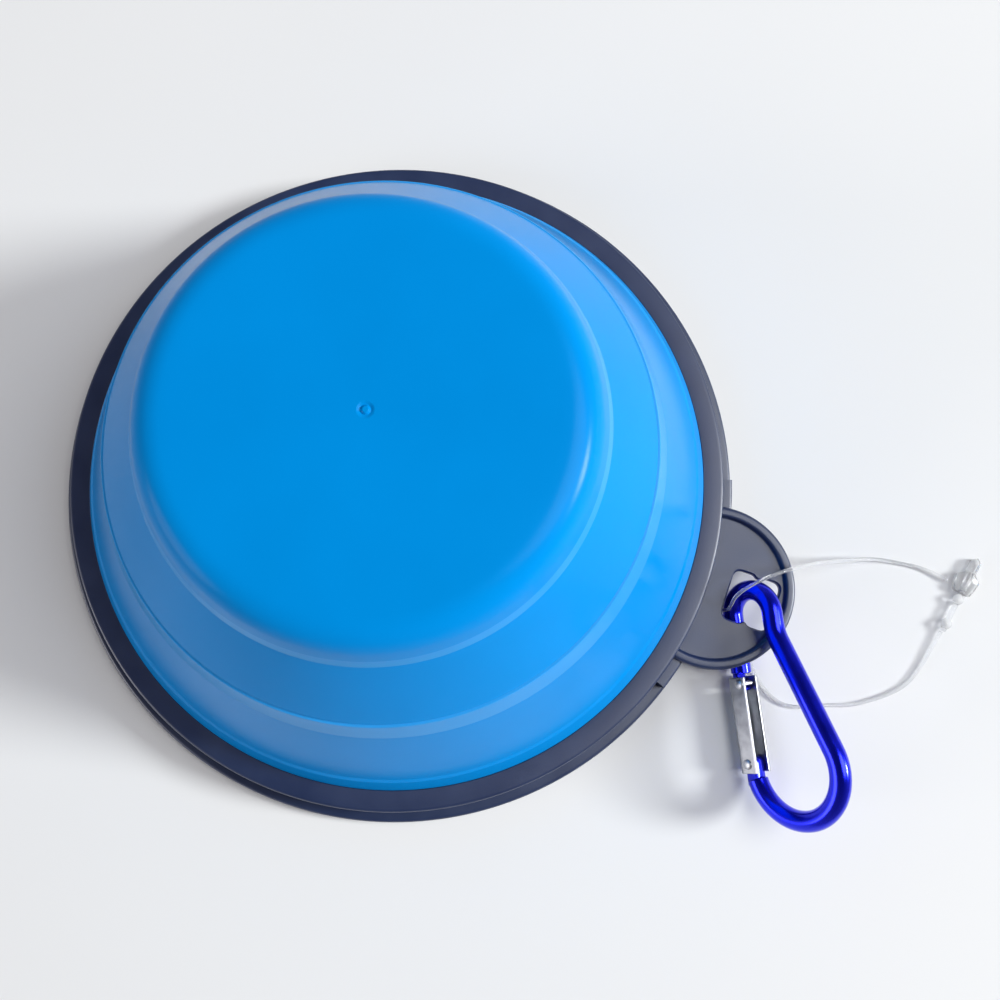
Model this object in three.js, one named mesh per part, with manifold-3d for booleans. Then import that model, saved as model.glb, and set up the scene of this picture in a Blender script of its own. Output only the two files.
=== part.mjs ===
// Collapsible pet bowl lying mouth down, with its hang tab, clip-on carabiner and clear tag loop.
// Millimetres, +Z up. The origin is the middle of the base's outer face and the tab points along +X.
import * as THREE from 'three';
import { mergeVertices } from 'three/addons/utils/BufferGeometryUtils.js';
import Module from 'manifold-3d';

const wasm = await Module();
wasm.setup();

// Overall
const bowlHeight = 57.9;
const fitGap = 0.3;
const roundSides = 60;

// Bowl wall, seen in section as radius and height above the mouth
const wallThickness = 2;
const foldThickness = 1.3;
const wallFootRadius = 58.3;
const nearRimRadius = 56;
const nearRimHeight = 13.9;
const outerFoldTopRadius = 50.2;
const outerFoldTopHeight = 25.7;
const ridgeFootRadius = 47.4;
const ridgeFootHeight = 31.6;
const ridgeEdgeRadius = 44.8;
const ridgeEdgeHeight = 36.7;
const innerFoldTopRadius = 38.35;
const innerFoldTopHeight = 46.8;
const creaseRadius = 36;
const creaseHeight = 50.3;
const shoulderRadius = 7;
const skirtLean = 22 * Math.PI / 180;
const footExtra = 0.6;
const nearRimLedge = 0.5;
const nearRimLedgeHeight = 0.4;
const nearRimEdge = 0.7;
const ridgeFootStep = [0.25, 0.5];
const ridgeEdgeStep = [0.3, 0.7];
const foldSlip = 0.1;

// Rim, which holds the wall's foot in a groove
const rimSides = 72;
const rimHeight = 8.4;
const rimWidth = 3.7;
const rimOuterRadius = wallFootRadius + fitGap + rimWidth;
const lipWidth = 2.7;
const lipRadius = rimOuterRadius + lipWidth;
const lipThickness = 3;
const weldDepth = 1;
const cutMargin = 1;
const edgeRound = 0.6;
const grooveDepth = 2.2;
const grooveFloor = 2.5;
const grooveHeight = 3;
const wallFootHeight = 0.8;

// Hang tab on the rim
const tabSides = 48;
const tabInset = 1.4;
const tabCentre = lipRadius - tabInset;
const tabRadius = 15.5;
const tabUnderside = 5.4;
const tabThickness = 1.6;
const beadWidth = 2;
const beadRise = 0.9;
const holeOffset = 7.6;
const holeCentre = tabCentre + holeOffset;
const holeLength = 9.2;
const holeLobeRadius = 2.4;
const holeLobeSpread = 2.4;
const holeWaist = 4.1;
const gussetAngle = 19 * Math.PI / 180;

// Carabiner, drawn flat: x runs along the gate to the small end, y from the gate to the spine
const rodDiameter = 3.8;
const rodSides = 12;
const rodSteps = 60;
const rodStartX = -1.7;
const bigEndX = 0.5;
const bigEndRadius = 9.2;
const spineLean = 22 * Math.PI / 180;
const spineBendX = 25;
const spineBendTangent = 1.6;
const smallEndX = 28.9;
const smallEndRadius = 4.6;
const noseRootX = 18.3;
const noseTipX = 14.9;
const noseHookLength = 0.5;
const noseHookRise = 0.9;
const tongueThickness = 2.2;
const tongueRadius = 1.3;
const tongueInset = 1;
const pivotX = 1.4;

// Gate, a channel folded from sheet
const gateWidth = 4;
const sheet = 0.5;
const gateFootX = -0.3;
const gateTipX = 17.5;
const gateWebEndX = 14.5;
const gateBackY = -2.1;
const gateFrontY = 1.9;
const gateEndRound = 1.4;
const pinSides = 12;
const pinRadius = 0.45;
const pinHeadRadius = 0.95;
const pinHeadHeight = 0.3;
const latchX = 16.2;
const latchY = 0.75;
const springWire = 0.6;
const springFootX = 3.4;
const springTipX = 11;
const springRise = 0.7;
const springKneeX = 4.6;
const springKneeRise = 0.42;
const springFlatX = 6.4;
const springSides = 8;
const springSteps = 12;

// How the carabiner lies: its nose under the tab, its gate near the table and its spine over the tab's edge
const gateFootOffset = [11.2, -29.6];
const noseClearance = 0.4;
const gateFootHeight = tabUnderside - noseClearance - rodDiameter / 2;
const gateFootPlace = [holeCentre + gateFootOffset[0], gateFootOffset[1], gateFootHeight];
const gateBearing = 115.9 * Math.PI / 180;
const carabinerTilt = 54 * Math.PI / 180;

// Tag loop
const filamentDiameter = 0.7;
const filamentSides = 8;
const filamentSteps = 66;
const lockBearing = 80 * Math.PI / 180;
const lockPlace = [111.4, 18.9];
const lockThickness = 1.7;
const lockWidth = 4.6;
const lockBody = 4.4;
const lockTip = 3.4;
const lockBase = 2.8;
const lockTaper = 0.6;
const lockShoulder = 1.2;
const lockNeck = 0.92;
const lockPoint = 0.8;
const lockLift = 0.1;
const plugLength = 8.2;
const plugBead = 1.05;
const plugNeck = 0.55;
const plugBeadPlaces = [1.2, 6.6];
const plugBeadSpan = 0.32 * Math.PI;
const plugLift = 0.05;

// The filament's way from the lock, over the carabiner, down through the hole and back along the table
const filamentRoute = [
  [107.7, 17.7, 0.85],
  [103.2, 18.3, 0.55],
  [97.9, 17.8, 0.55],
  [92.7, 16.6, 1.7],
  [87, 14, 4],
  [81.7, 11.4, 6.9],
  [77, 8.5, 9.6],
  [73.6, 6, 11.6],
  [69.8, 2.6, 12.1],
  [67.6, -0.5, 10.7],
  [67.6, -2.3, 8.2],
  [67.8, -2.9, 6.2],
  [67.1, -3.7, 3.4],
  [67.8, -6, 1.1],
  [70.4, -7.6, 0.5],
  [75, -9.7, 0.5],
  [78.6, -13.4, 0.5],
  [83.5, -15.9, 0.5],
  [87.1, -15.6, 0.5],
  [92.4, -13.4, 0.5],
  [96.4, -11.9, 0.5],
  [100.3, -9.5, 0.5],
  [103.3, -7.1, 0.5],
  [105.7, -4.4, 0.5],
  [107, -1.6, 0.55],
  [108.6, 4.4, 0.7],
  [109.3, 7.6, 0.85],
];

const materials = {
  bowl: new THREE.MeshStandardMaterial({ color: 0x0a8fdc, roughness: 0.45, metalness: 0 }),
  rim: new THREE.MeshStandardMaterial({ color: 0x3a3d4a, roughness: 0.55, metalness: 0 }),
  carabiner: new THREE.MeshStandardMaterial({ color: 0x0a1ea8, roughness: 0.25, metalness: 0.9 }),
  gate: new THREE.MeshStandardMaterial({ color: 0xb9bcc4, roughness: 0.4, metalness: 1 }),
  steel: new THREE.MeshStandardMaterial({ color: 0x9a9da3, roughness: 0.35, metalness: 1 }),
  tag: new THREE.MeshStandardMaterial({ color: 0xe6ebee, roughness: 0.2, metalness: 0 }),
};

// Solids and booleans
function closedGeometry(geometry) {
  const bare = geometry.index ? geometry.toNonIndexed() : geometry.clone();
  bare.deleteAttribute('normal');
  bare.deleteAttribute('uv');
  return mergeVertices(bare, 1e-4);
}

function toSolid(geometry) {
  const closed = closedGeometry(geometry);
  const vertProperties = new Float32Array(closed.attributes.position.array);
  const triVerts = new Uint32Array(closed.index.array);
  const solid = new wasm.Manifold(new wasm.Mesh({ numProp: 3, vertProperties, triVerts }));
  if (solid.volume() > 0) return solid;
  const flipped = triVerts.map((_, i) => triVerts[i - (i % 3) + 2 - (i % 3)]);
  return new wasm.Manifold(new wasm.Mesh({ numProp: 3, vertProperties, triVerts: flipped }));
}

function toGeometry(solid) {
  const mesh = solid.getMesh();
  const geometry = new THREE.BufferGeometry();
  geometry.setAttribute('position', new THREE.BufferAttribute(new Float32Array(mesh.vertProperties), 3));
  geometry.setIndex(new THREE.BufferAttribute(new Uint32Array(mesh.triVerts), 1));
  geometry.computeVertexNormals();
  return geometry;
}

function piece(name, solid, material) {
  const mesh = new THREE.Mesh(toGeometry(solid), material);
  mesh.name = name;
  return mesh;
}

// A ring or cup turned round the Z axis from [radius, height] points
function turned(profile, sides = roundSides) {
  const points = profile.map(([radius, height]) => new THREE.Vector2(radius, height));
  if (profile[0][0] > 0) points.push(points[0].clone());
  return toSolid(new THREE.LatheGeometry(points, sides).rotateX(Math.PI / 2));
}

function arcPoints(centreX, centreY, radius, from, to, steps) {
  return Array.from({ length: steps + 1 }, (_, i) => {
    const angle = from + (to - from) * i / steps;
    return [centreX + radius * Math.cos(angle), centreY + radius * Math.sin(angle)];
  });
}

function slab(shape, bottom, height, curveSegments = 12) {
  const options = { depth: height, bevelEnabled: false, curveSegments };
  return toSolid(new THREE.ExtrudeGeometry(shape, options).translate(0, 0, bottom));
}

function rectangle(x0, y0, x1, y1) {
  const corners = [[x0, y0], [x1, y0], [x1, y1], [x0, y1]];
  return new THREE.Shape(corners.map(([x, y]) => new THREE.Vector2(x, y)));
}

function disc(x, y, radius) {
  const shape = new THREE.Shape();
  shape.absarc(x, y, radius, 0, 2 * Math.PI, false);
  return shape;
}

// A round bar along a curve
function bar(points, radius, sides, steps) {
  const extrudePath = new THREE.CatmullRomCurve3(points);
  const options = { steps, extrudePath, curveSegments: sides / 4 };
  const section = new THREE.Shape();
  section.absarc(0, 0, radius, 0, Math.PI, false);
  section.absarc(0, 0, radius, Math.PI, 2 * Math.PI, false);
  return toSolid(new THREE.ExtrudeGeometry(section, options));
}

// A conical band of the bowl wall between two [radius, height] rings on its outer face
function wallBand(outline, thickness) {
  const inner = outline.map(([radius, height]) => [radius - thickness, height]).reverse();
  return turned([...outline, ...inner]);
}

const half = fitGap / 2;

function makeRimWall() {
  const inside = wallFootRadius - wallThickness - footExtra;
  const footRadius = wallFootRadius + grooveDepth - fitGap;
  return turned([
    [wallFootRadius, wallFootHeight],
    [wallFootRadius, grooveFloor + fitGap],
    [footRadius, grooveFloor + fitGap],
    [footRadius, grooveFloor + grooveHeight - fitGap],
    [wallFootRadius, grooveFloor + grooveHeight - fitGap],
    [wallFootRadius, rimHeight],
    [nearRimRadius + nearRimLedge, nearRimHeight - nearRimEdge - nearRimLedgeHeight],
    [nearRimRadius, nearRimHeight - nearRimEdge],
    [nearRimRadius, nearRimHeight - half],
    [nearRimRadius - wallThickness, nearRimHeight - half],
    [inside, rimHeight],
    [inside, wallFootHeight],
  ]);
}

function makeOuterFold() {
  return wallBand([
    [nearRimRadius - foldSlip, nearRimHeight + half],
    [outerFoldTopRadius + foldSlip, outerFoldTopHeight - half],
  ], foldThickness);
}

function makeFoldRing() {
  return wallBand([
    [outerFoldTopRadius, outerFoldTopHeight + half],
    [ridgeFootRadius, ridgeFootHeight],
    [ridgeFootRadius - ridgeFootStep[0], ridgeFootHeight + ridgeFootStep[1]],
    [ridgeEdgeRadius + ridgeEdgeStep[0], ridgeEdgeHeight - ridgeEdgeStep[1]],
    [ridgeEdgeRadius, ridgeEdgeHeight - half],
  ], wallThickness);
}

function makeInnerFold() {
  return wallBand([
    [ridgeEdgeRadius - foldSlip, ridgeEdgeHeight + half],
    [innerFoldTopRadius + foldSlip, innerFoldTopHeight - half],
  ], foldThickness);
}

// Flat base, round shoulder and a steep skirt down to the crease
function makeBaseCup() {
  const shoulderY = bowlHeight - shoulderRadius;
  const skirtDrop = shoulderY + shoulderRadius * Math.sin(skirtLean) - creaseHeight;
  const shoulderX = creaseRadius - skirtDrop * Math.tan(skirtLean) - shoulderRadius * Math.cos(skirtLean);
  return turned([
    [0, bowlHeight],
    ...arcPoints(shoulderX, shoulderY, shoulderRadius, Math.PI / 2, skirtLean, 9),
    [creaseRadius, creaseHeight],
    [innerFoldTopRadius, innerFoldTopHeight + half],
    [innerFoldTopRadius - wallThickness, innerFoldTopHeight + half],
    [creaseRadius - wallThickness, creaseHeight],
    ...arcPoints(shoulderX, shoulderY, shoulderRadius - wallThickness, skirtLean, Math.PI / 2, 6),
    [0, bowlHeight - wallThickness],
  ]);
}

// Hole in the tab: four round lobes joined by a body with drawn-in sides
function tabHole() {
  const lobeX = holeLength / 2 - holeLobeRadius;
  const bottom = tabUnderside - cutMargin;
  const height = tabThickness + beadRise + 2 * cutMargin;
  const corners = [[-1, -1], [-1, 1], [1, -1], [1, 1]];
  const lobes = corners.map(([i, j]) => disc(holeCentre + i * lobeX, j * holeLobeSpread, holeLobeRadius));
  const middle = rectangle(holeCentre - lobeX, -holeWaist, holeCentre + lobeX, holeWaist);
  const ends = rectangle(holeCentre - holeLength / 2, -holeLobeSpread, holeCentre + holeLength / 2, holeLobeSpread);
  return [...lobes, middle, ends]
    .map((shape) => slab(shape, bottom, height))
    .reduce((whole, cutter) => whole.add(cutter));
}

// Flat tab face with a rounded bead round its edge
function makeTab() {
  const face = tabUnderside + tabThickness;
  const beadInner = tabRadius - beadWidth;
  const beadCentre = tabRadius - beadWidth / 2;
  const bead = arcPoints(beadCentre, face + beadRise - beadWidth / 2, beadWidth / 2, 0, Math.PI, 6);
  const plate = turned([
    [0, tabUnderside],
    [tabRadius - edgeRound, tabUnderside],
    [tabRadius, tabUnderside + edgeRound],
    ...bead,
    [beadInner, face],
    [0, face],
  ], tabSides);
  return plate.translate([tabCentre, 0, 0]);
}

// The lip is filled up to the tab's level beside the tab's root
function makeGusset() {
  const shape = new THREE.Shape();
  shape.absarc(0, 0, lipRadius - edgeRound, -gussetAngle, gussetAngle, false);
  shape.absarc(0, 0, rimOuterRadius - weldDepth, gussetAngle, -gussetAngle, true);
  shape.closePath();
  const bottom = lipThickness - weldDepth;
  return slab(shape, bottom, tabUnderside + tabThickness - bottom);
}

function makeRim() {
  const innerRadius = wallFootRadius + fitGap;
  const grooveRadius = wallFootRadius + grooveDepth;
  const ring = turned([
    [innerRadius, 0],
    [lipRadius - edgeRound, 0],
    [lipRadius, edgeRound],
    [lipRadius, lipThickness - edgeRound],
    [lipRadius - edgeRound, lipThickness],
    [rimOuterRadius, lipThickness],
    [rimOuterRadius, rimHeight - edgeRound],
    [rimOuterRadius - edgeRound, rimHeight],
    [innerRadius, rimHeight],
    [innerRadius, grooveFloor + grooveHeight],
    [grooveRadius, grooveFloor + grooveHeight],
    [grooveRadius, grooveFloor],
    [innerRadius, grooveFloor],
  ], rimSides);
  const core = slab(disc(0, 0, rimOuterRadius - weldDepth), 0, bowlHeight, rimSides / 2);
  const tab = makeTab().subtract(core).subtract(tabHole());
  return ring.add(tab).add(makeGusset());
}

// Carabiner rod from the pivot end round the big end, along the spine and round the small end to the nose
function makeCarabinerBody() {
  const rodRadius = rodDiameter / 2;
  const bigEnd = new THREE.Vector2(bigEndX, bigEndRadius);
  const smallTop = 2 * smallEndRadius;
  const startAngle = 1.5 * Math.PI - Math.asin((bigEndX - rodStartX) / bigEndRadius);
  const path = new THREE.Path();
  path.absarc(bigEnd.x, bigEnd.y, bigEndRadius, startAngle, Math.PI / 2 - spineLean, true);
  path.lineTo(
    spineBendX - spineBendTangent * Math.cos(spineLean),
    smallTop + spineBendTangent * Math.sin(spineLean),
  );
  path.quadraticCurveTo(spineBendX, smallTop, spineBendX + spineBendTangent, smallTop);
  path.lineTo(smallEndX, smallTop);
  path.absarc(smallEndX, smallEndRadius, smallEndRadius, Math.PI / 2, -Math.PI / 2, true);
  path.lineTo(noseRootX, 0);
  const points = path.getSpacedPoints(rodSteps).map(({ x, y }) => new THREE.Vector3(x, y, 0));
  const rod = bar(points, rodRadius, rodSides, rodSteps);

  const pivotEye = slab(disc(pivotX, 0, tongueRadius), -tongueThickness / 2, tongueThickness);
  const pivotRoot = slab(
    rectangle(rodStartX - tongueInset, -tongueRadius, pivotX, tongueRadius),
    -tongueThickness / 2, tongueThickness,
  );
  const pivotHole = slab(disc(pivotX, 0, pinRadius + fitGap), -gateWidth, 2 * gateWidth);
  const nose = slab(
    rectangle(noseTipX, -tongueRadius, noseRootX + tongueInset, 0),
    -tongueThickness / 2, tongueThickness,
  );
  const hook = slab(
    rectangle(noseTipX, -tongueRadius, noseTipX + noseHookLength, noseHookRise),
    -tongueThickness / 2, tongueThickness,
  );
  return rod.add(pivotEye).add(pivotRoot).add(nose).add(hook).subtract(pivotHole);
}

// Sheet channel, open to the spine, whose back is cut away round the nose
function makeGate() {
  const outline = new THREE.Shape();
  outline.moveTo(gateFootX + gateEndRound, gateBackY);
  outline.lineTo(gateTipX - gateEndRound, gateBackY);
  outline.quadraticCurveTo(gateTipX, gateBackY, gateTipX, gateBackY + gateEndRound);
  outline.lineTo(gateTipX, gateFrontY);
  outline.lineTo(gateFootX, gateFrontY);
  outline.lineTo(gateFootX, gateBackY + gateEndRound);
  outline.quadraticCurveTo(gateFootX, gateBackY, gateFootX + gateEndRound, gateBackY);
  const inside = gateWidth / 2 - sheet;
  const hollow = slab(
    rectangle(gateFootX - cutMargin, gateBackY + sheet, gateTipX + cutMargin, gateFrontY + cutMargin),
    -inside, 2 * inside,
  );
  const noseWindow = slab(
    rectangle(gateWebEndX, gateBackY - cutMargin, gateTipX + cutMargin, gateFrontY + cutMargin),
    -inside, 2 * inside,
  );
  const footWindow = slab(
    rectangle(gateFootX - cutMargin, gateBackY - cutMargin, gateFootX + gateEndRound, gateFrontY + cutMargin),
    -inside, 2 * inside,
  );
  const pinHole = (x, y) => slab(disc(x, y, pinRadius + fitGap), -gateWidth, 2 * gateWidth);
  return slab(outline, -gateWidth / 2, gateWidth)
    .subtract(hollow)
    .subtract(noseWindow)
    .subtract(footWindow)
    .subtract(pinHole(pivotX, 0))
    .subtract(pinHole(latchX, latchY));
}

// Rivet with a low head at each end, across the gate
function makePin(x, y) {
  const reach = gateWidth / 2 + fitGap;
  const profile = [
    [0, -reach - pinHeadHeight],
    [pinHeadRadius, -reach - pinHeadHeight],
    [pinHeadRadius, -reach],
    [pinRadius, -reach],
    [pinRadius, reach],
    [pinHeadRadius, reach],
    [pinHeadRadius, reach + pinHeadHeight],
    [0, reach + pinHeadHeight],
  ];
  return turned(profile, pinSides).translate([x, y, 0]);
}

// Bent wire that lies along the back of the channel
function makeGateSpring() {
  const back = gateBackY + sheet + fitGap + springWire / 2;
  const points = [
    new THREE.Vector3(springFootX, back + springRise, 0),
    new THREE.Vector3(springKneeX, back + springKneeRise, 0),
    new THREE.Vector3(springFlatX, back, 0),
    new THREE.Vector3(springTipX, back, 0),
  ];
  return bar(points, springWire / 2, springSides, springSteps);
}

function makeFilament() {
  const points = filamentRoute.map(([x, y, z]) => new THREE.Vector3(x, y, z));
  return bar(points, filamentDiameter / 2, filamentSides, filamentSteps);
}

// Lock head: a flat arrow, drawn with its tip along +Y
function makeLock() {
  const top = lockBody - lockBase;
  const shape = new THREE.Shape();
  shape.moveTo(-lockWidth / 2 + lockTaper, -lockBase);
  shape.lineTo(lockWidth / 2 - lockTaper, -lockBase);
  shape.lineTo(lockWidth / 2, top - lockShoulder);
  shape.lineTo(lockNeck, top);
  shape.lineTo(lockNeck, top + lockTip - lockPoint);
  shape.lineTo(0, top + lockTip);
  shape.lineTo(-lockNeck, top + lockTip - lockPoint);
  shape.lineTo(-lockNeck, top);
  shape.lineTo(-lockWidth / 2, top - lockShoulder);
  shape.closePath();
  return slab(shape, lockLift, lockThickness);
}

// Plug stem with two round beads, drawn along -Y from the lock's foot
function makePlug() {
  const beads = plugBeadPlaces.flatMap((place) => arcPoints(0, place, plugBead, -plugBeadSpan, plugBeadSpan, 6));
  const profile = [
    [0, 0],
    [plugNeck, 0],
    ...beads,
    [plugNeck, plugLength],
    [0, plugLength],
  ];
  const start = lockBase + fitGap;
  return turned(profile, pinSides)
    .rotate([90, 0, 0])
    .translate([0, -start, plugBead + plugLift]);
}

const bowl = new THREE.Group();
bowl.position.z = -bowlHeight;
bowl.add(piece('rim', makeRim(), materials.rim));
bowl.add(piece('rim_wall', makeRimWall(), materials.bowl));
bowl.add(piece('outer_fold', makeOuterFold(), materials.bowl));
bowl.add(piece('fold_ring', makeFoldRing(), materials.bowl));
bowl.add(piece('inner_fold', makeInnerFold(), materials.bowl));
bowl.add(piece('base_cup', makeBaseCup(), materials.bowl));

const carabiner = new THREE.Group();
const alongGate = new THREE.Vector3(Math.cos(gateBearing), Math.sin(gateBearing), 0);
const toSpine = new THREE.Vector3(
  alongGate.y * Math.cos(carabinerTilt),
  -alongGate.x * Math.cos(carabinerTilt),
  Math.sin(carabinerTilt),
);
const acrossPlane = new THREE.Vector3().crossVectors(alongGate, toSpine);
carabiner.quaternion.setFromRotationMatrix(new THREE.Matrix4().makeBasis(alongGate, toSpine, acrossPlane));
carabiner.position.set(...gateFootPlace);
carabiner.add(piece('carabiner_body', makeCarabinerBody(), materials.carabiner));
carabiner.add(piece('gate_channel', makeGate(), materials.gate));
carabiner.add(piece('gate_pivot_pin', makePin(pivotX, 0), materials.steel));
carabiner.add(piece('gate_latch_pin', makePin(latchX, latchY), materials.steel));
carabiner.add(piece('gate_spring', makeGateSpring(), materials.steel));
bowl.add(carabiner);

const lock = new THREE.Group();
lock.position.set(...lockPlace, 0);
lock.rotation.z = lockBearing - Math.PI / 2;
lock.add(piece('tag_lock', makeLock(), materials.tag));
lock.add(piece('tag_plug', makePlug(), materials.tag));
bowl.add(lock);
bowl.add(piece('tag_filament', makeFilament(), materials.tag));

export default bowl;
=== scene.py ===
from math import asin, cos, hypot, pi, radians, sin, sqrt, tan

import bmesh
import bpy
from mathutils import Matrix, Vector


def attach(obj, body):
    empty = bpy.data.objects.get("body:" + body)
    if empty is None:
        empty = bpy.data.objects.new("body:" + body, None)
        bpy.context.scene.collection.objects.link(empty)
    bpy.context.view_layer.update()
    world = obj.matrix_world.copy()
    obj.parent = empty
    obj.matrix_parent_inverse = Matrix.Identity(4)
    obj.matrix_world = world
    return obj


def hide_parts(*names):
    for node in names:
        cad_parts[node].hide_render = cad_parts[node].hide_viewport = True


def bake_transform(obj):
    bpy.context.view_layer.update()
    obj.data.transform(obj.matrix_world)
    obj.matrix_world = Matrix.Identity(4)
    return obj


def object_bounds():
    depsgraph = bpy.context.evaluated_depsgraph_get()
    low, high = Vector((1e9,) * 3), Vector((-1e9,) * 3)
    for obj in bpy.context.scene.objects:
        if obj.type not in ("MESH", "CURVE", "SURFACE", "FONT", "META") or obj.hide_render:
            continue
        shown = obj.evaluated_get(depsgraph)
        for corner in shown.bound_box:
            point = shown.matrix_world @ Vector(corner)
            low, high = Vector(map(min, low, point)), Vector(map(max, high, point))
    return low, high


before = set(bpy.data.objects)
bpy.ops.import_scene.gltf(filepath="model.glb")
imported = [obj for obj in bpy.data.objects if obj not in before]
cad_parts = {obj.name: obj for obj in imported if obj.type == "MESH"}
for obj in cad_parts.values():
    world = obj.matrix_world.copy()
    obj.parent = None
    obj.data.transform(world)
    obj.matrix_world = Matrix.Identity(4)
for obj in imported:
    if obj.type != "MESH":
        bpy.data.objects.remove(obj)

# A collapsible pet bowl lying mouth down, its hang tab, carabiner and clear tag loop.
# Shapes are written in millimetres above the table and turned into metres of the frame by at().
CAD_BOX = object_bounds()
TABLE = CAD_BOX[0][2]
MM = 0.001

# Bowl wall in section: radius, height above the mouth, or both as a pair
WALL = 2.0
FOOT_RADIUS = 58.45
FOOT_WALL = 2.6
FOOT_BOTTOM = 0.8
FOOT_TOP = 8.5
LEDGE_LOW = (56.6, 12.6)
LEDGE_HIGH = (56.05, 13.2)
LEDGE_INSIDE = (54.05, 13.3)
RIDGE_FOOT = (47.4, 31.3)
RIDGE_FOOT_INSIDE = (45.1, 31.2)
RIDGE_EDGE_HEIGHT = 36.8
RIDGE_EDGE_RADIUS = 45.35
RIDGE_EDGE_INSIDE = 42.6
BASE_FOOT_RADIUS = 44.95
CREASE_RADIUS = 36.0
CREASE_HEIGHT = 50.3
# Height of the ring of painted sheen just above the crease
CREASE_SHEEN_BAND = 1.6
SKIRT_LEAN = radians(22)
SHOULDER_RADIUS = 7.0
BOWL_HEIGHT = 57.9
NUB_RADIUS = 0.45
NUB_HEIGHT = 0.12
NUB_MOAT = (0.75, 0.2)
NUB_MOAT_EDGE = 1.3
ROUND_STEPS = 240

# Rim and hang tab
LIP_RADIUS = 65.0
LIP_THICKNESS = 3.0
FLANGE_RADIUS = 62.4
RIM_BORE = 58.5
RIM_HEIGHT = 8.4
TAB_CENTRE = 63.6
TAB_RADIUS = 15.5
TAB_UNDERSIDE = 5.4
TAB_FACE = 7.0
TAB_STEPS = 144
BEAD_TOP = 7.9
BEAD_WIDTH = 2.0
BEAD_LEAN = 0.25
HOLE_CENTRE = 71.2
HOLE_LENGTH = 9.2
HOLE_LOBE = 2.4
HOLE_WAIST = 4.1
HOLE_WAIST_LENGTH = 1.8
HOLE_EASE = 0.35
GUSSET_ANGLE = radians(19)
GUSSET_INSET = 0.6

# Carabiner, flat in its own plane: x along the gate to the small end, y from the gate to the spine
ROD = 1.9
ROD_START_X = -1.7
ROD_END_EASE = 0.25
ROD_END_SHARE = 0.82
BIG_END_X = 0.5
BIG_END = 9.2
SPINE_LEAN = radians(22)
SPINE_BEND_X = 25.0
SPINE_BEND_TANGENT = 1.6
SMALL_END_X = 28.9
SMALL_END = 4.6
NOSE_ROOT_X = 18.3
NOSE_TIP_X = 14.9
NOSE_HOOK = 0.5
NOSE_HOOK_TOP = 0.9
TONGUE_THICKNESS = 2.2
TONGUE_RADIUS = 1.3
PLATE_EASE = 0.15
PIVOT_X = 1.4
GATE_FOOT = (82.4, -29.6, 3.1)
GATE_BEARING = radians(115.9)
CARABINER_TILT = radians(54)
GATE_WIDTH = 4.0
GATE_BEND = 0.9
GATE_FOOT_X = -0.3
GATE_FOOT_CUT = 1.2
GATE_TIP_X = 17.5
GATE_WEB_END_X = 14.5
GATE_BACK = -2.1
GATE_FRONT = 1.9
SHEET = 0.5
SHEET_EASE = 0.12
LATCH = (16.2, 0.75)
PIN_RADIUS = 0.45
PIN_COLLAR = 0.9
PIN_HEAD = 0.95
PIN_DOME = 0.3

# Tag loop: routes from the hole over the carabiner to the lock, and along the table to the plug
FILAMENT = 0.7
OVER_ROUTE = [
    (67.8, -2.9, 6.2), (67.6, -2.3, 8.2), (67.6, -0.5, 10.7), (69.8, 2.6, 12.1),
    (73.6, 6, 11.6), (77, 8.5, 9.6), (81.7, 11.4, 6.9), (87, 14, 4),
    (92.7, 16.6, 1.7), (97.9, 17.8, 0.55), (103.2, 18.3, 0.55), (107.7, 17.7, 0.85),
]
UNDER_ROUTE = [
    (67.8, -2.9, 6.2), (67.1, -3.7, 3.4), (67.8, -6, 1.1), (70.4, -7.6, 0.5),
    (75, -9.7, 0.5), (78.6, -13.4, 0.5), (83.5, -15.9, 0.5), (87.1, -15.6, 0.5),
    (92.4, -13.4, 0.5), (96.4, -11.9, 0.5), (100.3, -9.5, 0.5), (103.3, -7.1, 0.5),
    (105.7, -4.4, 0.5), (107, -1.6, 0.55), (108.6, 4.4, 0.7), (109.3, 7.6, 0.85),
]
LOCK_PLACE = (111.4, 18.9)
LOCK_BEARING = radians(80)
LOCK_THICKNESS = 1.7
LOCK_WIDTH = 4.6
LOCK_BODY = 4.4
LOCK_TIP = 3.4
LOCK_TIP_POINT = 0.8
LOCK_BASE = 2.8
LOCK_SHOULDER = 1.2
LOCK_TAPER = 0.6
LOCK_RIB_HALF = 0.5
LOCK_RIB_HEIGHT = 0.35
PLUG_LENGTH = 8.2
PLUG_GAP = 0.3
PLUG_BEAD = 1.05
PLUG_BEAD_PLACES = (1.2, PLUG_LENGTH - 1.6)
PLUG_NECK = 0.55

# Camera: eye and aim over the table, and the bearing on the table that is up in the picture
EYE = (28.22, -26.48, 192.61)
AIM = (19.67, 3.14, 0)
UP_BEARING = radians(109.67)
FOCAL_PIXELS = 980
PICTURE = 1000
SENSOR = 36.0

# Colours, each as the two ends of a faint variation
RUBBER_BLUE = ((0.0, 0.24, 0.66), (0.0, 0.256, 0.7))
# Paler blue of the fold bands: painted sheen, the bright floor's reflection at the folds
SHEEN_BAND_BLUE = ((0.022, 0.295, 0.72), (0.03, 0.312, 0.76))
RIM_NAVY = ((0.006, 0.018, 0.066), (0.009, 0.024, 0.08))
ROD_BLUE = ((0.003, 0.01, 0.74), (0.005, 0.013, 0.84))
GATE_GREY = ((0.3, 0.31, 0.335), (0.41, 0.42, 0.445))
PIN_GREY = ((0.5, 0.51, 0.54), (0.62, 0.63, 0.66))
TAG_WHITE = ((0.93, 0.94, 0.95), (0.98, 0.98, 0.985))
FLOOR_WHITE = ((0.79, 0.795, 0.8), (0.81, 0.815, 0.82))

# Light: the sky's colour and strengths, and the half width of the floor in metres
SKY_COLOUR = (0.97, 0.9, 0.94)
SKY_AT_HORIZON = 0.4
SKY_OVERHEAD = 0.03
FLOOR_REACH = 3.0

# Edges that turn by more than these degrees stay sharp on large and on small pieces
SHARP = 38
SMALL_SHARP = 50


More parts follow.
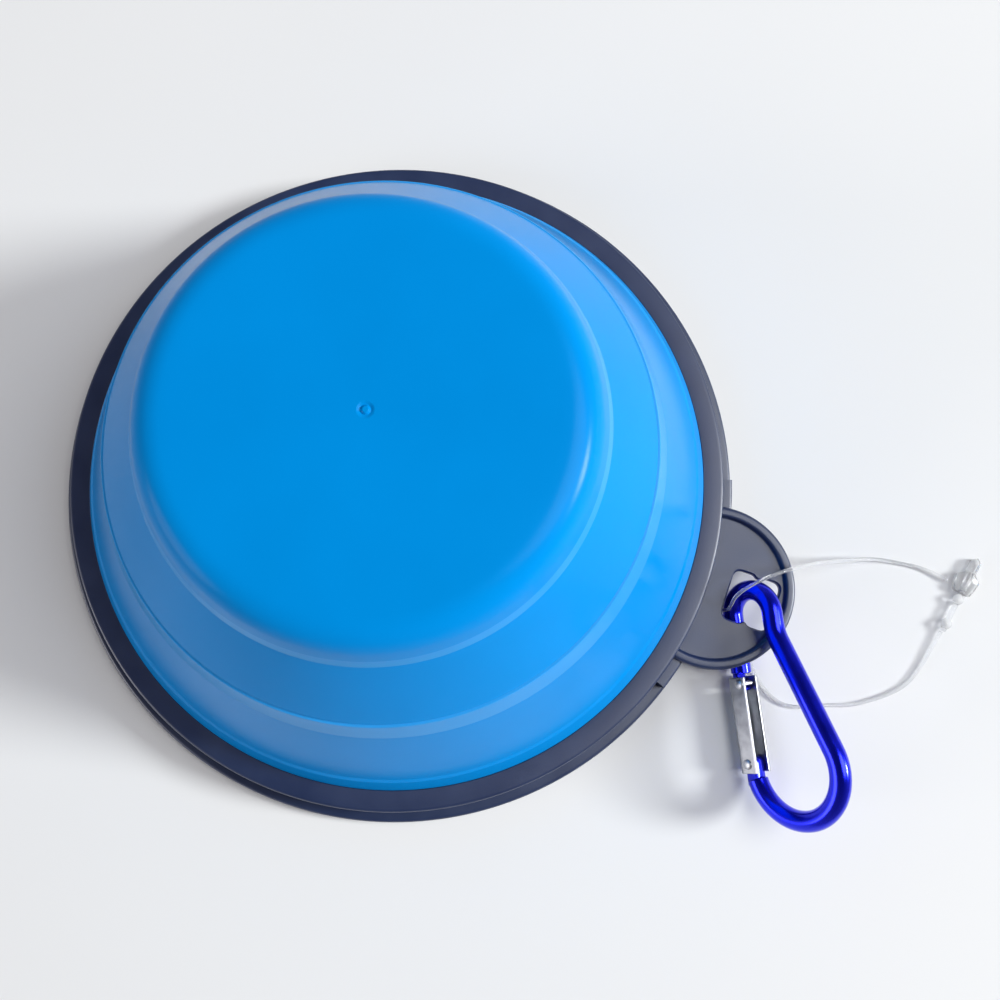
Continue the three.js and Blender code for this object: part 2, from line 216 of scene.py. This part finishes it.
def at(x, y, z):
    """A point in millimetres over the table, in metres of the frame."""
    return Vector((x * MM, y * MM, z * MM + TABLE))


def turns(count):
    """Angles of a full turn in equal steps."""
    return [2 * pi * k / count for k in range(count)]


# Mesh helpers
def new_object(name, mesh, material):
    obj = bpy.data.objects.new(name, mesh)
    bpy.context.scene.collection.objects.link(obj)
    obj.data.materials.clear()
    obj.data.materials.append(material)
    return obj


def smooth(mesh, sharp):
    mesh.polygons.foreach_set("use_smooth", [True] * len(mesh.polygons))
    mesh.set_sharp_from_angle(angle=radians(sharp))


def mesh_from(name, points, faces, sharp=SHARP):
    mesh = bpy.data.meshes.new(name)
    mesh.from_pydata([tuple(p) for p in points], [], faces)
    mesh.validate()
    outward = bmesh.new()
    outward.from_mesh(mesh)
    bmesh.ops.recalc_face_normals(outward, faces=outward.faces)
    outward.to_mesh(mesh)
    outward.free()
    smooth(mesh, sharp)
    return mesh


def rounded(corners, steps=6):
    """Points of an outline given as (x, y, fillet radius) corners."""
    out = []
    count = len(corners)
    longest_share = 0.48
    for i, (x, y, radius) in enumerate(corners):
        here = Vector((x, y))
        back = Vector(corners[i - 1][:2]) - here
        ahead = Vector(corners[(i + 1) % count][:2]) - here
        if radius <= 0:
            out.append((x, y))
            continue
        turn = back.angle(ahead)
        reach = min(radius / tan(turn / 2), longest_share * back.length, longest_share * ahead.length)
        first = here + back.normalized() * reach
        last = here + ahead.normalized() * reach
        for k in range(steps + 1):
            t = k / steps
            p = first * (1 - t) ** 2 + here * 2 * t * (1 - t) + last * t ** 2
            out.append((p.x, p.y))
    return out


def refined(outline, longest, closed=True):
    """The outline with its long stretches cut into shorter ones."""
    ends = outline[1:] + outline[:1] if closed else outline[1:]
    out = []
    for (x, y), (nx, ny) in zip(outline, ends):
        pieces = int(hypot(nx - x, ny - y) / longest) + 1
        out += [(x + (nx - x) * k / pieces, y + (ny - y) * k / pieces) for k in range(pieces)]
    return out if closed else out + outline[-1:]


def revolve(name, outline):
    """A closed ring turned round Z from a closed outline of (radius, height)."""
    points = [at(r * cos(a), r * sin(a), z) for a in turns(ROUND_STEPS) for r, z in outline]
    n = len(outline)
    faces = []
    for i in range(ROUND_STEPS):
        j = (i + 1) % ROUND_STEPS
        faces += [(i * n + k, i * n + (k + 1) % n, j * n + (k + 1) % n, j * n + k) for k in range(n)]
    return mesh_from(name, points, faces)


def revolve_cup(name, outline, steps=ROUND_STEPS):
    """A closed solid turned round Z from an open outline that starts and ends on the axis."""
    first, middle, last = outline[0], outline[1:-1], outline[-1]
    points = [at(0, 0, first[1]), at(0, 0, last[1])]
    points += [at(r * cos(a), r * sin(a), z) for a in turns(steps) for r, z in middle]
    n = len(middle)
    faces = []
    for i in range(steps):
        here, there = 2 + i * n, 2 + ((i + 1) % steps) * n
        faces.append((0, here, there))
        faces.append((1, there + n - 1, here + n - 1))
        faces += [(here + k, here + k + 1, there + k + 1, there + k) for k in range(n - 1)]
    return mesh_from(name, points, faces)


def loft(name, sections, sharp=SHARP):
    """A closed tube through rings of points that all have the same count."""
    n = len(sections[0])
    points = [p for ring in sections for p in ring]
    faces = []
    for i in range(len(sections) - 1):
        a, b = i * n, (i + 1) * n
        faces += [(a + k, a + (k + 1) % n, b + (k + 1) % n, b + k) for k in range(n)]
    faces.append(tuple(range(n)))
    faces.append(tuple((len(sections) - 1) * n + k for k in range(n)))
    return mesh_from(name, points, faces, sharp)


def combine(body, others, operation):
    """Cut or join other objects into body and remove them."""
    for other in others:
        modifier = body.modifiers.new("combine", "BOOLEAN")
        modifier.operation = operation
        modifier.solver = "EXACT"
        modifier.object = other
        apply_modifiers(body)
        bpy.data.objects.remove(other)


def apply_modifiers(obj):
    depsgraph = bpy.context.evaluated_depsgraph_get()
    whole = bpy.data.meshes.new_from_object(obj.evaluated_get(depsgraph))
    obj.modifiers.clear()
    obj.data = whole


def merge(name, meshes, material):
    """One object from several meshes."""
    whole = bmesh.new()
    for mesh in meshes:
        whole.from_mesh(mesh)
        bpy.data.meshes.remove(mesh)
    mesh = bpy.data.meshes.new(name)
    whole.to_mesh(mesh)
    whole.free()
    smooth(mesh, SMALL_SHARP)
    return new_object(name, mesh, material)


# Materials
def new_material(name):
    material = bpy.data.materials.new(name)
    material.use_nodes = True
    tree = material.node_tree
    return material, tree, tree.nodes["Principled BSDF"]


def noise(tree, scale, detail=3.0):
    place = tree.nodes.new("ShaderNodeTexCoord")
    texture = tree.nodes.new("ShaderNodeTexNoise")
    texture.inputs["Scale"].default_value = scale
    texture.inputs["Detail"].default_value = detail
    tree.links.new(place.outputs["Object"], texture.inputs["Vector"])
    return texture.outputs["Fac"]


def vary_colour(tree, shader, factor, colours):
    ramp = tree.nodes.new("ShaderNodeValToRGB")
    for element, position, colour in zip(ramp.color_ramp.elements, (0.3, 0.7), colours):
        element.position = position
        element.color = (*colour, 1)
    tree.links.new(factor, ramp.inputs["Fac"])
    tree.links.new(ramp.outputs["Color"], shader.inputs["Base Color"])


def vary_roughness(tree, shader, factor, low, high):
    span = tree.nodes.new("ShaderNodeMapRange")
    span.inputs["From Min"].default_value = 0.3
    span.inputs["From Max"].default_value = 0.7
    span.inputs["To Min"].default_value = low
    span.inputs["To Max"].default_value = high
    tree.links.new(factor, span.inputs["Value"])
    tree.links.new(span.outputs["Result"], shader.inputs["Roughness"])


def add_bump(tree, shader, height, strength, distance):
    bump = tree.nodes.new("ShaderNodeBump")
    bump.inputs["Strength"].default_value = strength
    bump.inputs["Distance"].default_value = distance
    tree.links.new(height, bump.inputs["Height"])
    tree.links.new(bump.outputs["Normal"], shader.inputs["Normal"])


def rubber_material(name, colours):
    """Blue soft moulding, satin, with a faint cloudiness and fine grain."""
    material, tree, shader = new_material(name)
    cloud = noise(tree, scale=45)
    grain = noise(tree, scale=2600, detail=2)
    vary_colour(tree, shader, cloud, colours)
    vary_roughness(tree, shader, cloud, low=0.2, high=0.23)
    add_bump(tree, shader, grain, strength=0.1, distance=0.00005)
    shader.inputs["Specular IOR Level"].default_value = 0.055
    return material


def rim_material():
    """Blue-black satin moulding with a fine spark-eroded grain."""
    material, tree, shader = new_material("rim_plastic")
    cloud = noise(tree, scale=120)
    grain = noise(tree, scale=3200, detail=2)
    vary_colour(tree, shader, cloud, RIM_NAVY)
    vary_roughness(tree, shader, cloud, low=0.36, high=0.44)
    add_bump(tree, shader, grain, strength=0.2, distance=0.00006)
    shader.inputs["Specular IOR Level"].default_value = 0.9
    return material


def anodised_material():
    """Deep blue anodised aluminium rod."""
    material, tree, shader = new_material("carabiner_blue")
    cloud = noise(tree, scale=300)
    vary_colour(tree, shader, cloud, ROD_BLUE)
    vary_roughness(tree, shader, cloud, low=0.2, high=0.27)
    shader.inputs["Metallic"].default_value = 0.9
    shader.inputs["Coat Weight"].default_value = 0.4
    shader.inputs["Coat Roughness"].default_value = 0.12
    return material


def sheet_material(name, colours, roughness):
    """Bare metal with a faint mottle."""
    material, tree, shader = new_material(name)
    mottle = noise(tree, scale=700, detail=4)
    vary_colour(tree, shader, mottle, colours)
    vary_roughness(tree, shader, mottle, low=roughness, high=roughness + 0.12)
    add_bump(tree, shader, mottle, strength=0.1, distance=0.00005)
    shader.inputs["Metallic"].default_value = 1.0
    return material


def clear_material():
    """Clear, faintly milky plastic of the tag loop."""
    material, tree, shader = new_material("tag_clear")
    haze = noise(tree, scale=900)
    vary_colour(tree, shader, haze, TAG_WHITE)
    vary_roughness(tree, shader, haze, low=0.08, high=0.16)
    shader.inputs["Transmission Weight"].default_value = 0.85
    shader.inputs["IOR"].default_value = 1.22
    return material


RUBBER = rubber_material("bowl_rubber", RUBBER_BLUE)
# The paler rubber paints sheen onto the fold bands
RUBBER_PAINTED_SHEEN = rubber_material("bowl_rubber_painted_sheen", SHEEN_BAND_BLUE)
RIM = rim_material()
ANODISED = anodised_material()
GATE_METAL = sheet_material("gate_metal", GATE_GREY, roughness=0.3)
STEEL = sheet_material("pin_steel", PIN_GREY, roughness=0.34)
CLEAR = clear_material()


# Camera
def make_camera():
    data = bpy.data.cameras.new("camera")
    data.sensor_width = SENSOR
    data.lens = SENSOR * FOCAL_PIXELS / PICTURE
    data.clip_start = 0.01
    camera = bpy.data.objects.new("camera", data)
    bpy.context.scene.collection.objects.link(camera)
    ahead = (at(*AIM) - at(*EYE)).normalized()
    right = ahead.cross(Vector((cos(UP_BEARING), sin(UP_BEARING), 0))).normalized()
    up = right.cross(ahead)
    turn = Matrix((right, up, -ahead)).transposed()
    camera.matrix_world = Matrix.Translation(at(*EYE)) @ turn.to_4x4()
    bpy.context.scene.camera = camera


# Tag loop
def filament(name, route):
    data = bpy.data.curves.new(name, "CURVE")
    data.dimensions = "3D"
    data.bevel_depth = FILAMENT / 2 * MM
    data.bevel_resolution = 4
    data.resolution_u = 10
    data.use_fill_caps = True
    spline = data.splines.new("BEZIER")
    spline.bezier_points.add(len(route) - 1)
    for point, place in zip(spline.bezier_points, route):
        point.co = at(*place)
        point.handle_left_type = "AUTO"
        point.handle_right_type = "AUTO"
    data.materials.append(CLEAR)
    obj = bpy.data.objects.new(name, data)
    bpy.context.scene.collection.objects.link(obj)
    return obj


def on_lock(x, y, z):
    """A point of the lock, whose tip lies along its own y, in the frame."""
    a = LOCK_BEARING - pi / 2
    return at(LOCK_PLACE[0] + x * cos(a) - y * sin(a), LOCK_PLACE[1] + x * sin(a) + y * cos(a), z)


def lock_layers(name, outline, levels):
    """A solid of the lock from an outline and its (height, share of full size) levels."""
    return loft(name, [[on_lock(x * s, y * s, z) for x, y in outline] for z, s in levels], SMALL_SHARP)


def make_lock():
    """Flat arrow head with rounded edges and a raised middle."""
    top = LOCK_BODY - LOCK_BASE
    tip = top + LOCK_TIP
    half = LOCK_WIDTH / 2
    neck = half * 0.4
    outline = rounded([
        (-half + LOCK_TAPER, -LOCK_BASE, 0.4), (half - LOCK_TAPER, -LOCK_BASE, 0.4),
        (half, top - LOCK_SHOULDER, 0.5), (neck, top, 0.5), (neck, tip - LOCK_TIP_POINT, 0.3), (0, tip, 0.3),
        (-neck, tip - LOCK_TIP_POINT, 0.3), (-neck, top, 0.5), (-half, top - LOCK_SHOULDER, 0.5),
    ], 4)
    levels = [(0.1, 0.9), (0.35, 1.0), (LOCK_THICKNESS - 0.25, 1.0), (LOCK_THICKNESS, 0.86)]
    body = lock_layers("lock", outline, levels)
    foot = -LOCK_BASE + 0.3
    rib = rounded([
        (-LOCK_RIB_HALF, foot, 0.2), (LOCK_RIB_HALF, foot, 0.2),
        (LOCK_RIB_HALF, top, 0.2), (-LOCK_RIB_HALF, top, 0.2),
    ], 3)
    high = LOCK_THICKNESS + LOCK_RIB_HEIGHT
    ridge = lock_layers("ridge", rib, [(0.4, 1.0), (high - 0.15, 1.0), (high, 0.8)])
    return merge("tag_lock_head", [body, ridge], CLEAR)


def make_plug():
    """Stem with two round beads."""
    start = LOCK_BASE + PLUG_GAP
    middle = PLUG_BEAD + 0.05
    end_share = 0.6
    rings = []
    steps = 60
    for i in range(steps + 1):
        along = PLUG_LENGTH * i / steps
        radius = PLUG_NECK
        for bead in PLUG_BEAD_PLACES:
            inside = PLUG_BEAD ** 2 - (along - bead) ** 2
            radius = max(radius, sqrt(inside) if inside > 0 else 0)
        if i in (0, steps):
            radius *= end_share
        rings.append([on_lock(radius * cos(a), -start - along, middle + radius * sin(a)) for a in turns(20)])
    return new_object("tag_plug_stem", loft("plug", rings, sharp=60), CLEAR)


def make_tag_loop():
    over = filament("tag_filament_over", OVER_ROUTE)
    under = filament("tag_filament_under", UNDER_ROUTE)
    head = make_lock()
    stem = make_plug()
    stands_for = [(over, "tag_filament"), (under, "tag_filament"), (head, "tag_lock"), (stem, "tag_plug")]
    for piece, node in stands_for:
        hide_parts(node)
        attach(piece, "carabiner")
    bpy.context.view_layer.update()


# Rim with its hang tab
def hole_outline(grow):
    """Outline of the tab's hole, whose long sides are drawn in at the waist."""
    end = HOLE_LENGTH / 2 + grow
    wide = 2 * HOLE_LOBE + grow
    waist = HOLE_WAIST + grow
    lobe = HOLE_LOBE + grow
    flank = HOLE_WAIST_LENGTH / 2
    corners = [
        (-end, -wide, lobe), (-flank, -wide, 1.2), (0, -waist, 1.0), (flank, -wide, 1.2),
        (end, -wide, lobe), (end, wide, lobe), (flank, wide, 1.2), (0, waist, 1.0),
        (-flank, wide, 1.2), (-end, wide, lobe),
    ]
    return [(HOLE_CENTRE + x, y) for x, y in rounded(corners, 8)]


def make_hole_cutter():
    levels = [
        (TAB_UNDERSIDE - 0.5, HOLE_EASE * 2), (TAB_UNDERSIDE + HOLE_EASE, 0),
        (TAB_FACE - HOLE_EASE, 0), (TAB_FACE + 0.5, HOLE_EASE * 2),
    ]
    rings = [[at(x, y, z) for x, y in hole_outline(grow)] for z, grow in levels]
    return new_object("hole_cutter", loft("hole_cutter", rings), RIM)


def make_tab():
    bead_in = TAB_RADIUS - BEAD_WIDTH
    outline = rounded([
        (0, TAB_UNDERSIDE, 0), (TAB_RADIUS, TAB_UNDERSIDE, 0.6), (TAB_RADIUS, BEAD_TOP, 0.9),
        (bead_in + BEAD_LEAN, BEAD_TOP, 0.7), (bead_in, TAB_FACE, 0.35), (0, TAB_FACE, 0),
    ], 8)
    mesh = revolve_cup("tab", outline, TAB_STEPS)
    mesh.transform(Matrix.Translation((TAB_CENTRE * MM, 0, 0)))
    return new_object("tab", mesh, RIM)


def make_gusset():
    """Raised stretch of the lip that carries the tab."""
    steps = 24
    inner, outer = FLANGE_RADIUS - 1.5, LIP_RADIUS - GUSSET_INSET
    bottom = LIP_THICKNESS - 1
    section = rounded([
        (inner, bottom, 0), (outer, bottom, 0), (outer, TAB_FACE, 0.7), (inner, TAB_FACE, 0),
    ], 5)
    rings = []
    for i in range(steps + 1):
        a = -GUSSET_ANGLE + 2 * GUSSET_ANGLE * i / steps
        rings.append([at(r * cos(a), r * sin(a), z) for r, z in section])
    return new_object("gusset", loft("gusset", rings), RIM)


def make_core():
    """Space inside the flange, where the tab has no material."""
    radius = FLANGE_RADIUS - 0.8
    bottom, top = -1, 20
    outline = [(0, bottom), (radius, bottom), (radius, top), (0, top)]
    return new_object("core", revolve_cup("core", outline, 96), RIM)


def make_rim():
    outline = rounded([
        (RIM_BORE, 0, 0.4), (LIP_RADIUS, 0, 0.8), (LIP_RADIUS, LIP_THICKNESS, 0.8),
        (FLANGE_RADIUS + 0.15, LIP_THICKNESS + 0.1, 0.5), (FLANGE_RADIUS, RIM_HEIGHT, 0.7),
        (RIM_BORE, RIM_HEIGHT - 0.1, 0.15),
    ])
    rim = new_object("rim_ring", revolve("rim_ring", outline), RIM)
    core = make_core()
    tab = make_tab()
    combine(tab, [core], "DIFFERENCE")
    combine(rim, [tab, make_gusset()], "UNION")
    combine(rim, [make_hole_cutter()], "DIFFERENCE")
    smooth(rim.data, sharp=30)
    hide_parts("rim")
    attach(rim, "rim_body")


# Soft bowl in two lengths that meet at the ridge's edge, each shaped across one fold
def paint_sheen_band(piece, low, high):
    """Give the faces between two heights a paler blue: painted sheen that stands in for the bright floor's
    reflection at the folds.
    """
    piece.data.materials.append(RUBBER_PAINTED_SHEEN)
    for face in piece.data.polygons:
        face.material_index = int(at(0, 0, low).z < face.center.z < at(0, 0, high).z)


def make_lower_wall():
    """Foot in the rim, fine ledge near the rim, outer fold and the ridge with its small lip."""
    foot_inside = FOOT_RADIUS - FOOT_WALL
    outer = [
        (FOOT_RADIUS, FOOT_BOTTOM, 0.5), (FOOT_RADIUS, FOOT_TOP, 1.2), (*LEDGE_LOW, 0.3), (*LEDGE_HIGH, 0.25),
        (*RIDGE_FOOT, 0.3), (RIDGE_EDGE_RADIUS, RIDGE_EDGE_HEIGHT - 0.05, 0.25),
    ]
    inner = [
        (RIDGE_EDGE_INSIDE, RIDGE_EDGE_HEIGHT + 0.15, 0), (*RIDGE_FOOT_INSIDE, 1.0), (*LEDGE_INSIDE, 1.0),
        (foot_inside, FOOT_TOP, 1.2), (foot_inside, FOOT_BOTTOM, 0.5),
    ]
    outline = refined(rounded(outer + inner), longest=0.8)
    wall = new_object("bowl_lower_wall", revolve("bowl_lower_wall", outline), RUBBER)
    # Painted sheen: the ridge band and everything above it take the paler blue
    paint_sheen_band(wall, RIDGE_FOOT[1], BOWL_HEIGHT)
    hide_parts("rim_wall", "outer_fold", "fold_ring")
    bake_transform(wall)


def make_base():
    """Wall above the ridge, crease, steep skirt, round shoulder and flat base with its moulding nub."""
    foot = RIDGE_EDGE_HEIGHT + 0.2
    skirt_top = CREASE_RADIUS - (BOWL_HEIGHT - CREASE_HEIGHT) * tan(SKIRT_LEAN)
    nub_top = BOWL_HEIGHT + NUB_HEIGHT
    corners = [
        (0, nub_top, 0), (NUB_RADIUS, nub_top, 0.2), (NUB_MOAT[0], BOWL_HEIGHT - NUB_MOAT[1], 0.15),
        (NUB_MOAT_EDGE, BOWL_HEIGHT, 0.4), (skirt_top, BOWL_HEIGHT, SHOULDER_RADIUS),
        (CREASE_RADIUS, CREASE_HEIGHT, 0.3), (BASE_FOOT_RADIUS, foot, 0.1),
        (BASE_FOOT_RADIUS - WALL, foot, 0), (CREASE_RADIUS - WALL, CREASE_HEIGHT, 1.5),
        (skirt_top - WALL, BOWL_HEIGHT - WALL, SHOULDER_RADIUS - WALL), (0, BOWL_HEIGHT - WALL, 0),
    ]
    outline = refined(rounded(corners, 14), longest=1.2, closed=False)
    base = new_object("bowl_base", revolve_cup("bowl_base", outline), RUBBER)
    # Painted sheen: a thin paler ring just above the crease
    paint_sheen_band(base, CREASE_HEIGHT, CREASE_HEIGHT + CREASE_SHEEN_BAND)
    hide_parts("inner_fold", "base_cup")
    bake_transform(base)


# Carabiner
ALONG = Vector((cos(GATE_BEARING), sin(GATE_BEARING), 0))
TO_SPINE = Vector((ALONG.y * cos(CARABINER_TILT), -ALONG.x * cos(CARABINER_TILT), sin(CARABINER_TILT)))
ACROSS = ALONG.cross(TO_SPINE)


def on_clip(x, y, z):
    """A point given in the carabiner's own plane, in the frame."""
    return at(*GATE_FOOT) + (ALONG * x + TO_SPINE * y + ACROSS * z) * MM


def arc(centre_x, radius, first, last, steps):
    """Points of an arc whose lowest point lies on the gate's line."""
    angles = [first + (last - first) * k / steps for k in range(steps + 1)]
    return [(centre_x + radius * cos(a), radius + radius * sin(a)) for a in angles]


def rod_path():
    """Points of the rod's middle line in its own plane, from the pivot end round to the nose."""
    top = 2 * SMALL_END
    start_angle = 1.5 * pi - asin((BIG_END_X - ROD_START_X) / BIG_END)
    line = arc(BIG_END_X, BIG_END, start_angle, pi / 2 - SPINE_LEAN, 48)
    bend_from = Vector((SPINE_BEND_X - SPINE_BEND_TANGENT * cos(SPINE_LEAN),
                        top + SPINE_BEND_TANGENT * sin(SPINE_LEAN)))
    bend_to = Vector((SPINE_BEND_X + SPINE_BEND_TANGENT, top))
    corner = Vector((SPINE_BEND_X, top))
    start = Vector(line[-1])
    line += [tuple(start.lerp(bend_from, k / 12)) for k in range(1, 12)]
    for k in range(9):
        t = k / 8
        line.append(tuple(bend_from * (1 - t) ** 2 + corner * 2 * t * (1 - t) + bend_to * t * t))
    line += arc(SMALL_END_X, SMALL_END, pi / 2, -pi / 2, 32)
    end = Vector(line[-1])
    line += [tuple(end.lerp(Vector((NOSE_ROOT_X, 0)), k / 8)) for k in range(1, 9)]
    return line


def eased_end(ring, middle, outward):
    """A smaller ring just past an end of the rod."""
    centre = middle.to_3d()
    shift = outward.normalized().to_3d() * ROD_END_EASE
    return [tuple(centre.lerp(Vector(p), ROD_END_SHARE) + shift) for p in ring]


def rod_mesh():
    line = [Vector(p) for p in rod_path()]
    rings = []
    for i, p in enumerate(line):
        ahead = line[min(i + 1, len(line) - 1)] - line[max(i - 1, 0)]
        side = Vector((-ahead.y, ahead.x)).normalized() * ROD
        rings.append([(p.x + side.x * cos(a), p.y + side.y * cos(a), ROD * sin(a)) for a in turns(28)])
    first = eased_end(rings[0], line[0], line[0] - line[1])
    last = eased_end(rings[-1], line[-1], line[-1] - line[-2])
    return loft("rod", [[on_clip(*p) for p in ring] for ring in [first, *rings, last]], SMALL_SHARP)


def plate_mesh(name, outline, thickness):
    """A flat plate across the carabiner's plane with eased edges."""
    half = thickness / 2
    middle = Vector((sum(p[0] for p in outline) / len(outline), sum(p[1] for p in outline) / len(outline)))
    flat = half - PLATE_EASE
    rings = []
    for z, shrink in ((-half, PLATE_EASE), (-flat, 0), (flat, 0), (half, PLATE_EASE)):
        ring = []
        for x, y in outline:
            out = Vector((x, y)) - middle
            p = middle + out * (1 - shrink / out.length)
            ring.append(on_clip(p.x, p.y, z))
        rings.append(ring)
    return loft(name, rings, SMALL_SHARP)


def make_carabiner():
    """Bent rod with a flat tongue at the pivot and a hooked nose at the other end."""
    root = ROD_START_X - 1
    nose_end = NOSE_ROOT_X + 1
    hook_x = NOSE_TIP_X + NOSE_HOOK
    r = TONGUE_RADIUS
    tongue = rounded([(root, -r, 0.1), (PIVOT_X + r, -r, r), (PIVOT_X + r, r, r), (root, r, 0.1)], 8)
    nose = rounded([
        (NOSE_TIP_X, -r, 0.5), (nose_end, -r, 0.1), (nose_end, 0, 0.1),
        (hook_x + 0.4, 0, 0.3), (hook_x, NOSE_HOOK_TOP, 0.2), (NOSE_TIP_X, NOSE_HOOK_TOP, 0.2),
    ], 4)
    body = merge("carabiner_rod", [
        rod_mesh(),
        plate_mesh("tongue", tongue, TONGUE_THICKNESS),
        plate_mesh("nose", nose, TONGUE_THICKNESS),
    ], ANODISED)
    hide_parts("carabiner_body")
    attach(body, "carabiner")


def gate_surface():
    """Outer face of the folded sheet, its back cut away at the foot and round the nose."""
    half = GATE_WIDTH / 2
    flank_steps, bend_steps, length_steps = 7, 8, 60
    flank = GATE_FRONT - GATE_BACK - GATE_BEND
    section = [(half, GATE_FRONT - flank * k / flank_steps) for k in range(flank_steps)]
    section += [(half - GATE_BEND + GATE_BEND * cos(a), GATE_BACK + GATE_BEND - GATE_BEND * sin(a))
                for a in (pi / 2 * k / bend_steps for k in range(bend_steps + 1))]
    section += [(-z, y) for z, y in reversed(section)]
    length = GATE_TIP_X - GATE_FOOT_X
    stations = [GATE_FOOT_X + length * k / length_steps for k in range(length_steps + 1)]
    grid = bmesh.new()
    rows = [[grid.verts.new(on_clip(x, y, z)) for z, y in section] for x in stations]
    back_from = flank_steps + 6
    for i in range(length_steps):
        middle = (stations[i] + stations[i + 1]) / 2
        cut = middle > GATE_WEB_END_X or middle < GATE_FOOT_X + GATE_FOOT_CUT
        for k in range(len(section) - 1):
            if cut and back_from <= k < len(section) - back_from - 1:
                continue
            grid.faces.new((rows[i][k], rows[i][k + 1], rows[i + 1][k + 1], rows[i + 1][k]))
    loose = [v for v in grid.verts if not v.link_faces]
    bmesh.ops.delete(grid, geom=loose, context="VERTS")
    bmesh.ops.recalc_face_normals(grid, faces=grid.faces)
    mesh = bpy.data.meshes.new("gate_sheet")
    grid.to_mesh(mesh)
    grid.free()
    return mesh


def make_gate():
    """Sheet channel with rounded bends and eased edges."""
    gate = new_object("gate_sheet", gate_surface(), GATE_METAL)
    wall = gate.modifiers.new("sheet", "SOLIDIFY")
    wall.thickness = SHEET * MM
    wall.offset = -1
    ease = gate.modifiers.new("ease", "BEVEL")
    ease.width = SHEET_EASE * MM
    ease.segments = 2
    ease.limit_method = "ANGLE"
    ease.angle_limit = radians(50)
    apply_modifiers(gate)
    smooth(gate.data, sharp=40)
    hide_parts("gate_channel")
    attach(gate, "gate")


def make_pin(name, node, body, x, y):
    """Rivet with a domed head at each end."""
    reach = GATE_WIDTH / 2 + 0.1
    collar = reach - 0.05
    dome = [(PIN_HEAD * cos(a), reach + PIN_DOME * sin(a)) for a in (pi / 2 * k / 5 for k in range(5))]
    profile = [(PIN_RADIUS, 0), (PIN_RADIUS, collar), (PIN_COLLAR, collar)] + dome + [(0.1, reach + PIN_DOME)]
    rings = [(r, -z) for r, z in reversed(profile)] + profile
    sections = [[on_clip(x + r * cos(a), y + r * sin(a), z) for a in turns(24)] for r, z in rings]
    pin = new_object(name, loft(name, sections, SMALL_SHARP), STEEL)
    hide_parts(node)
    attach(pin, body)


def dress_spring():
    """The spring keeps its CAD shape and takes the finish of the pins."""
    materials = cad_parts["gate_spring"].data.materials
    materials.clear()
    materials.append(STEEL)


# Floor and light
def make_floor():
    reach = FLOOR_REACH
    corners = [(-reach, -reach), (reach, -reach), (reach, reach), (-reach, reach)]
    mesh = mesh_from("floor", [(x, y, TABLE) for x, y in corners], [(0, 1, 2, 3)])
    material, tree, shader = new_material("floor")
    paper = noise(tree, scale=8)
    vary_colour(tree, shader, paper, FLOOR_WHITE)
    shader.inputs["Roughness"].default_value = 0.7
    shader.inputs["Specular IOR Level"].default_value = 0.1
    new_object("floor", mesh, material)


def make_light(name, bearing, elevation, distance, size, power, colour):
    """A round lamp that looks at the bowl, with its place in degrees and metres."""
    data = bpy.data.lights.new(name, "AREA")
    data.shape = "DISK"
    data.size = size
    data.energy = power
    data.color = colour
    lamp = bpy.data.objects.new(name, data)
    bpy.context.scene.collection.objects.link(lamp)
    a, e = radians(bearing), radians(elevation)
    away = Vector((cos(a) * cos(e), sin(a) * cos(e), sin(e)))
    lamp.location = at(0, 0, 20) + away * distance
    lamp.rotation_euler = away.to_track_quat("Z", "Y").to_euler()


def make_lights():
    make_light("window", bearing=18, elevation=28, distance=2.5, size=0.6, power=62, colour=(0.97, 1, 1))
    make_light("ceiling", bearing=25, elevation=60, distance=1.6, size=1.0, power=13, colour=(0.98, 0.99, 1))
    make_light("fill", bearing=220, elevation=14, distance=2.5, size=1.4, power=20, colour=(1, 0.97, 0.98))


def make_world():
    """Plain light that is strong near the horizon and weak overhead."""
    world = bpy.data.worlds.new("studio")
    bpy.context.scene.world = world
    world.use_nodes = True
    tree = world.node_tree
    sky = tree.nodes["Background"]
    sky.inputs["Color"].default_value = (*SKY_COLOUR, 1)
    place = tree.nodes.new("ShaderNodeTexCoord")
    split = tree.nodes.new("ShaderNodeSeparateXYZ")
    fade = tree.nodes.new("ShaderNodeMapRange")
    fade.inputs["To Min"].default_value = SKY_AT_HORIZON
    fade.inputs["To Max"].default_value = SKY_OVERHEAD
    tree.links.new(place.outputs["Generated"], split.inputs["Vector"])
    tree.links.new(split.outputs["Z"], fade.inputs["Value"])
    tree.links.new(fade.outputs["Result"], sky.inputs["Strength"])


bpy.context.scene.view_settings.view_transform = "Standard"
make_camera()
make_tag_loop()
make_rim()
make_lower_wall()
make_base()
make_carabiner()
make_gate()
make_pin("gate_rivet", "gate_pivot_pin", "carabiner", PIVOT_X, 0)
make_pin("gate_latch", "gate_latch_pin", "gate", *LATCH)
dress_spring()
make_floor()
make_world()
make_lights()
